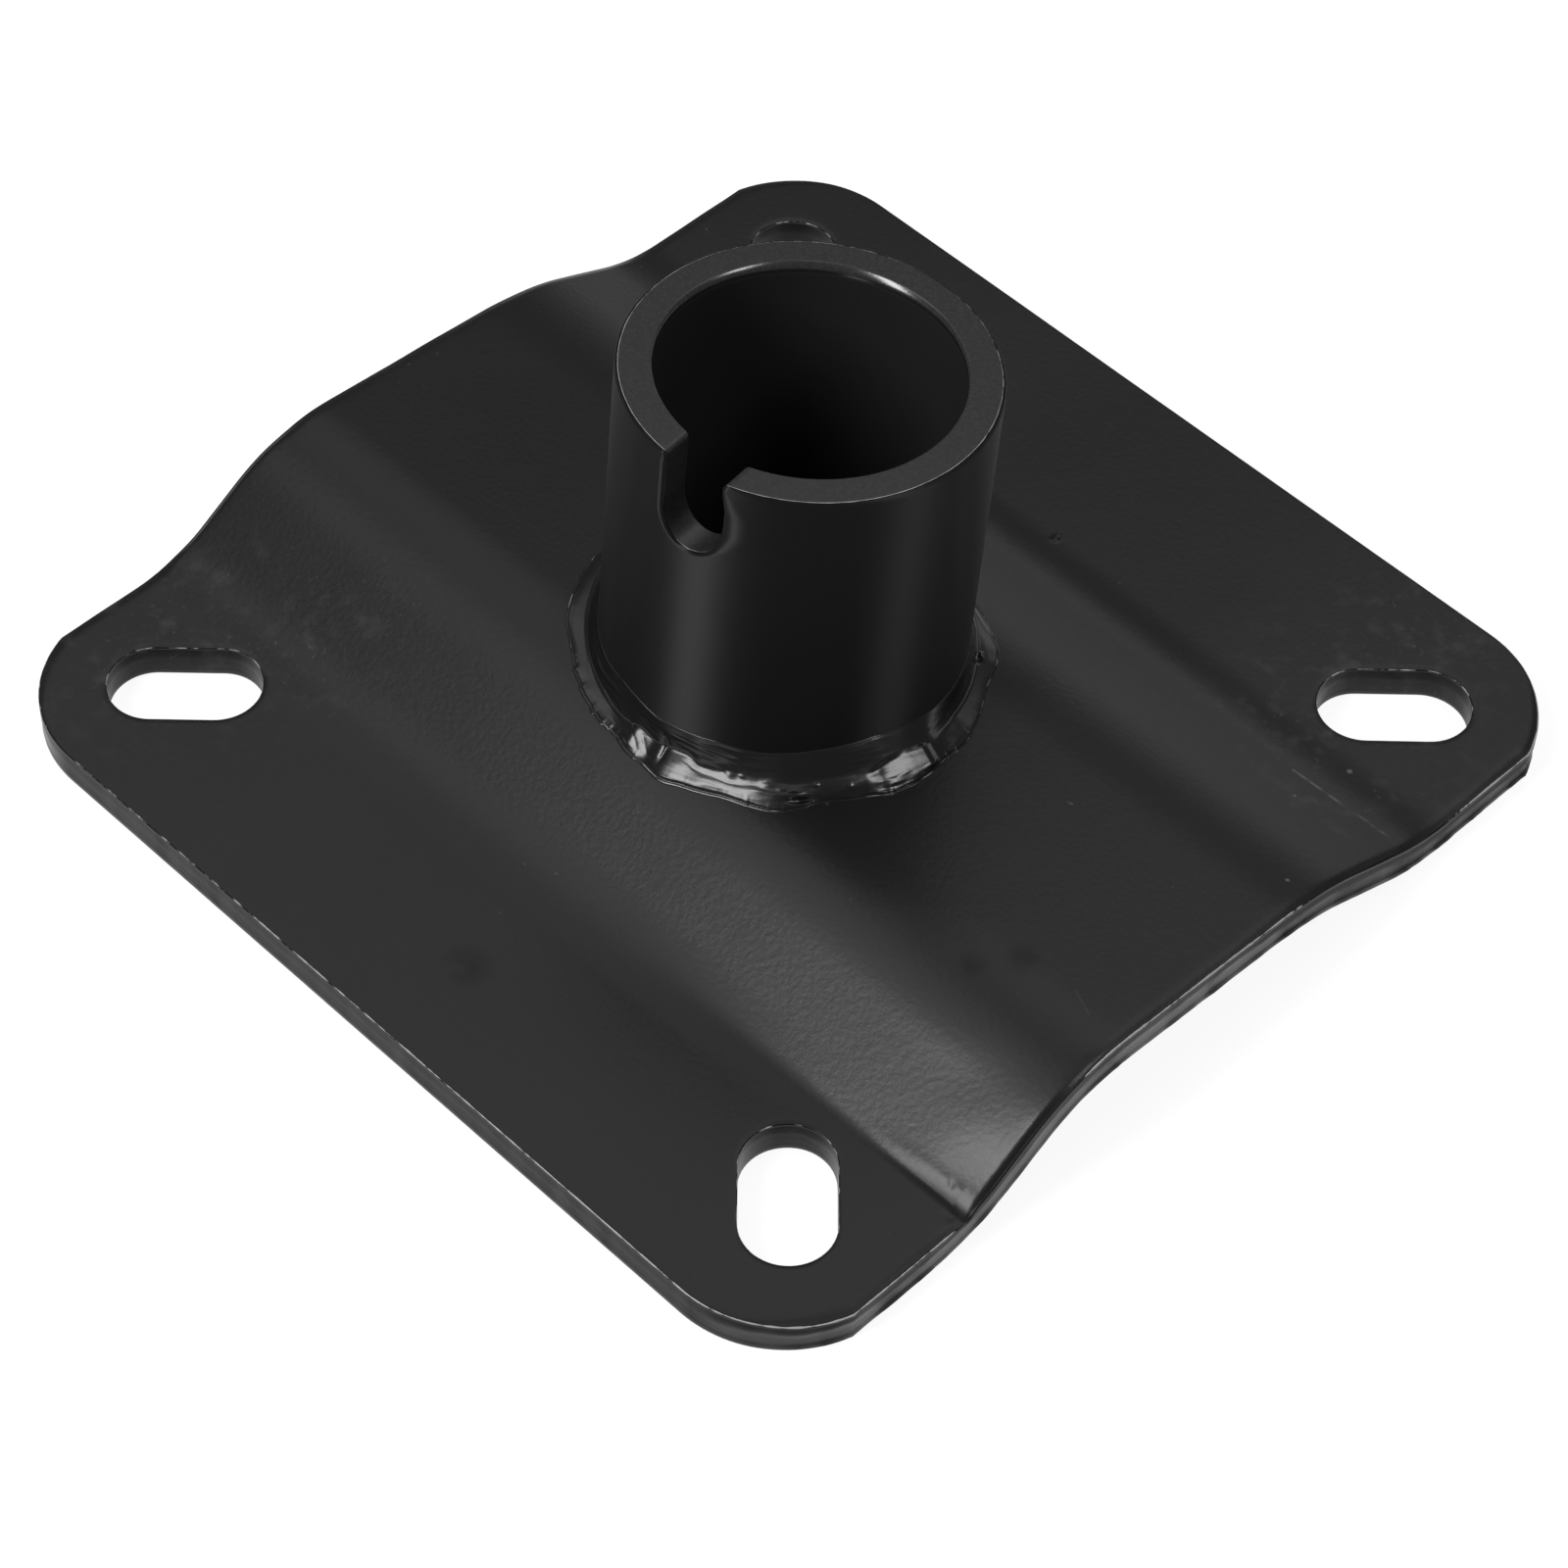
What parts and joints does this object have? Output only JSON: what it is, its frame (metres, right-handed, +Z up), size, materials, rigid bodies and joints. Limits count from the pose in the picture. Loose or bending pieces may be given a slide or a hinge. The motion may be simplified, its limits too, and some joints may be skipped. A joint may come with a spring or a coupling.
{
  "type": "seat mounting plate",
  "caption": "Pressed steel seat mounting plate for a hydraulic barber chair, with a keyed socket tube welded to its raised, sloping middle band.",
  "frame": {"origin": "middle of the plate, on the plane of the two flanges' undersides", "axes": "+X along the bends, +Y across them towards the lower end of the sloping band, +Z up through the socket tube"},
  "size_m": [0.184, 0.187, 0.0802],
  "materials": {
    "powder_coat": "satin black powder coat, faintly grained",
    "tube_coat": "smooth satin black paint over machined tube",
    "weld_coat": "glossy black paint over rough weld metal"
  },
  "bodies": {
    "root": {"mounting_plate": "powder_coat", "socket_tube": "tube_coat", "weld_bead": "weld_coat"}
  },
  "joints": []
}
